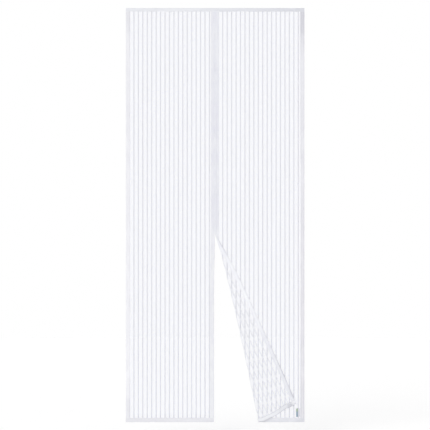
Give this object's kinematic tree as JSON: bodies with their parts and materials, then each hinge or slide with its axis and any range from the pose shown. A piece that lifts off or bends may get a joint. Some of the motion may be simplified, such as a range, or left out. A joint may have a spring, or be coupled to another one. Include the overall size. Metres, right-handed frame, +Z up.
{
  "type": "magnetic insect screen",
  "caption": "Doorway insect screen of striped net panels bound in woven tape, with magnetic inner edges and one lower corner folded over to the front.",
  "frame": {"origin": "middle of the back face of the top fixing tape, where it lies against the wall", "axes": "+Z up, -Y to the front (away from the wall), +X to the right seen from the front"},
  "size_m": [0.906, 0.0141, 2.1],
  "materials": {
    "striped_net": "matt knitted polyester, see-through",
    "woven_tape": "matt woven",
    "magnet_ferrite": "matt ferrite",
    "weight_steel": "plain",
    "loop_tape": "soft loops",
    "label_satin": "satin, blank"
  },
  "bodies": {
    "root": {"net_left": "striped_net", "net_right": "striped_net", "top_binding": "woven_tape", "side_binding_left": "woven_tape", "side_binding_right": "woven_tape", "closing_binding_left": "woven_tape", "closing_binding_right": "woven_tape", "hem_left": "woven_tape", "hem_right": "woven_tape", "closing_magnet_left_01": "magnet_ferrite", "closing_magnet_left_02": "magnet_ferrite", "closing_magnet_left_03": "magnet_ferrite", "closing_magnet_left_04": "magnet_ferrite", "closing_magnet_left_05": "magnet_ferrite", "closing_magnet_left_06": "magnet_ferrite", "closing_magnet_left_07": "magnet_ferrite", "closing_magnet_left_08": "magnet_ferrite", "closing_magnet_left_09": "magnet_ferrite", "closing_magnet_left_10": "magnet_ferrite", "closing_magnet_left_11": "magnet_ferrite", "closing_magnet_left_12": "magnet_ferrite", "closing_magnet_left_13": "magnet_ferrite", "closing_magnet_right_01": "magnet_ferrite", "closing_magnet_right_02": "magnet_ferrite", "closing_magnet_right_03": "magnet_ferrite", "closing_magnet_right_04": "magnet_ferrite", "closing_magnet_right_05": "magnet_ferrite", "closing_magnet_right_06": "magnet_ferrite", "closing_magnet_right_07": "magnet_ferrite", "closing_magnet_right_08": "magnet_ferrite", "closing_magnet_right_09": "magnet_ferrite", "closing_magnet_right_10": "magnet_ferrite", "closing_magnet_right_11": "magnet_ferrite", "closing_magnet_right_12": "magnet_ferrite", "closing_magnet_right_13": "magnet_ferrite", "hem_weight_left": "weight_steel", "hem_weight_right": "weight_steel", "fixing_tape_top": "loop_tape", "fixing_tape_left": "loop_tape", "fixing_tape_right": "loop_tape", "side_label": "label_satin"}
  },
  "joints": []
}
